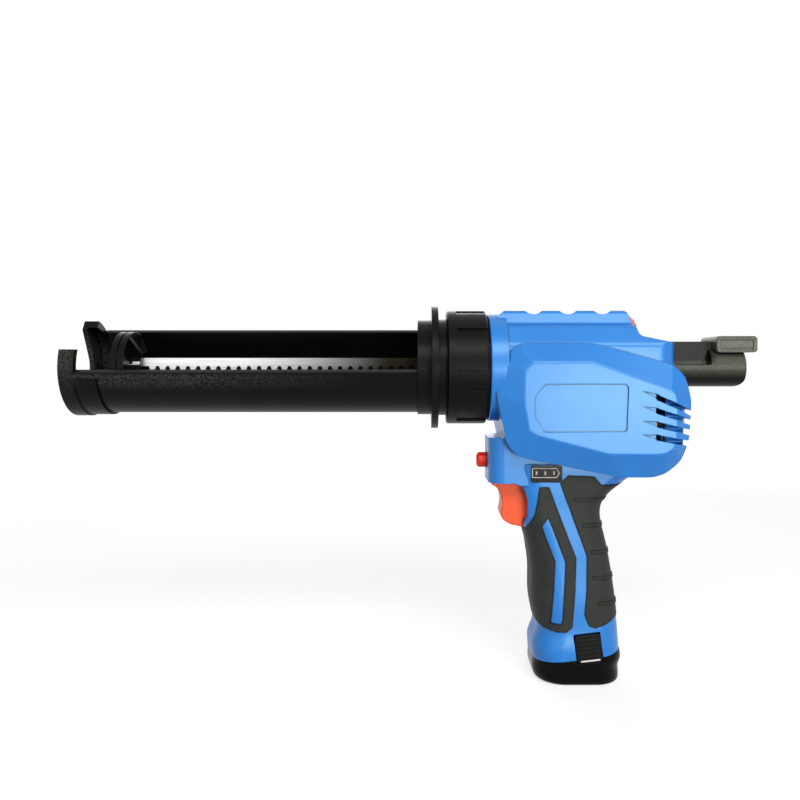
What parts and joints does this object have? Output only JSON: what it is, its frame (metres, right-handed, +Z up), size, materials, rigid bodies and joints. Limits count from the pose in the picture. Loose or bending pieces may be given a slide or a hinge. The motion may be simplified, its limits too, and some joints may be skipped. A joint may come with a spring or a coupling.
{
  "type": "cordless caulking tool",
  "caption": "Battery caulking gun: trough cradle with turning collar, rack push rod with pusher and pull handle, geared motor, trigger, dial and clip-in battery.",
  "frame": {"origin": "centre of the flat foot under the battery", "axes": "+Z up, -X along the barrel towards the nose, -Y the side with the gauge seen first"},
  "size_m": [0.4177, 0.076, 0.2268],
  "materials": {
    "blue_shell": "moulded, fine satin texture",
    "black_moulding": "moulded, satin grain",
    "grip_rubber": "overmoulded, soft matt",
    "battery_black": "moulded, polished",
    "latch_black": "moulded, ribbed",
    "orange_trigger": "moulded, semi-gloss",
    "red_button": "moulded, semi-gloss",
    "red_dial": "moulded, knurled",
    "gauge_window": "clear-coated window",
    "rod_steel": "milled, bright zinc",
    "gear_steel": "hobbed, oiled",
    "screw_steel": "black zinc",
    "gearbox_steel": "turned",
    "plate_aluminium": "stamped",
    "bush_bronze": "sintered",
    "contact_brass": "stamped, plated",
    "magnet": "sintered ferrite",
    "cell_can": "wrapped cell can",
    "inner_plastic": "moulded",
    "board_green": "solder mask",
    "chip_black": "moulded"
  },
  "bodies": {
    "body": {"housing_left": "blue_shell", "housing_right": "blue_shell", "housing_screws": "screw_steel", "front_grip_left": "grip_rubber", "front_grip_right": "grip_rubber", "rear_grip_left": "grip_rubber", "rear_grip_right": "grip_rubber", "front_boss": "black_moulding", "rod_guide": "inner_plastic", "shaft_bushes": "bush_bronze", "gear_plate_left": "plate_aluminium", "gear_plate_right": "plate_aluminium", "gearbox_case": "gearbox_steel", "motor_can": "gearbox_steel", "motor_end_cap": "inner_plastic", "motor_magnets": "magnet", "trigger_switch": "inner_plastic", "button_switch": "inner_plastic", "dial_potentiometer": "inner_plastic", "battery_gauge": "gauge_window", "control_board": "board_green", "board_chips": "chip_black", "terminal_block": "inner_plastic"},
    "rod": {"push_rod": "rod_steel", "pusher": "black_moulding", "pusher_screw": "screw_steel", "rod_handle": "black_moulding", "rod_handle_pin": "screw_steel"},
    "cross_drive": {"cross_shaft": "gear_steel", "drive_pinion": "gear_steel", "spur_gear": "gear_steel"},
    "counter_drive": {"counter_shaft": "gear_steel", "spur_pinion": "gear_steel", "bevel_gear": "gear_steel"},
    "output": {"bevel_pinion": "gear_steel"},
    "armature": {"motor_armature": "gear_steel"},
    "cradle": {"cradle_trough": "black_moulding", "cradle_cap": "black_moulding", "cradle_ring": "black_moulding"},
    "collar": {"lock_collar": "black_moulding"},
    "trigger_piece": {"trigger": "orange_trigger"},
    "button_piece": {"push_button": "red_button"},
    "dial_piece": {"speed_dial": "red_dial"},
    "battery": {"battery_shell": "battery_black", "battery_cells": "cell_can", "battery_blades": "contact_brass"},
    "latch_left": {"battery_latch_left": "latch_black"},
    "latch_right": {"battery_latch_right": "latch_black"}
  },
  "joints": [
    {"name": "rod_slide", "type": "slide", "parent": "body", "child": "rod", "axis": [1, 0, 0], "range_m": [0, 0.195]},
    {"name": "cross_spin", "type": "hinge", "parent": "body", "child": "cross_drive", "pos_m": [-0.026, 0, 0.1749], "axis": [0, 1, 0], "range_deg": [0, 933.1]},
    {"name": "counter_spin", "type": "hinge", "parent": "body", "child": "counter_drive", "pos_m": [-0.026, 0, 0.15353], "axis": [0, 1, 0], "range_deg": [-1948.8, 0]},
    {"name": "output_spin", "type": "hinge", "parent": "body", "child": "output", "pos_m": [-0.012, 0, 0.15353], "axis": [1, 0, 0], "range_deg": [0, 3895.5]},
    {"name": "armature_spin", "type": "hinge", "parent": "body", "child": "armature", "pos_m": [0.035, 0, 0.15353], "axis": [1, 0, 0], "continuous": true},
    {"name": "cradle_turn", "type": "hinge", "parent": "body", "child": "cradle", "pos_m": [-0.1, 0, 0.189], "axis": [1, 0, 0], "continuous": true},
    {"name": "collar_turn", "type": "hinge", "parent": "body", "child": "collar", "pos_m": [-0.066, 0, 0.189], "axis": [1, 0, 0], "continuous": true},
    {"name": "trigger_pull", "type": "slide", "parent": "body", "child": "trigger_piece", "axis": [1, 0, 0], "range_m": [0, 0.006], "stiffness_N_per_m": 700, "springref_m": -0.003},
    {"name": "button_push", "type": "slide", "parent": "body", "child": "button_piece", "axis": [1, 0, 0], "range_m": [0, 0.003], "stiffness_N_per_m": 500, "springref_m": -0.002},
    {"name": "dial_turn", "type": "hinge", "parent": "body", "child": "dial_piece", "pos_m": [0.0271, 0, 0.2109], "axis": [0, 1, 0], "range_deg": [-135, 135]},
    {"name": "battery_slide", "type": "slide", "parent": "body", "child": "battery", "axis": [0.1115, 0, -0.9938], "range_m": [0, 0.09]},
    {"name": "latch_left_press", "type": "slide", "parent": "battery", "child": "latch_left", "axis": [0, 1, 0], "range_m": [0, 0.002], "stiffness_N_per_m": 400, "springref_m": -0.002},
    {"name": "latch_right_press", "type": "slide", "parent": "battery", "child": "latch_right", "axis": [0, -1, 0], "range_m": [0, 0.002], "stiffness_N_per_m": 400, "springref_m": -0.002}
  ],
  "couplings": [
    {"joint": "cross_spin", "follows": "rod_slide", "rad_per_m": 83.333},
    {"joint": "counter_spin", "follows": "rod_slide", "rad_per_m": -174.24},
    {"joint": "output_spin", "follows": "rod_slide", "rad_per_m": 348.48}
  ]
}
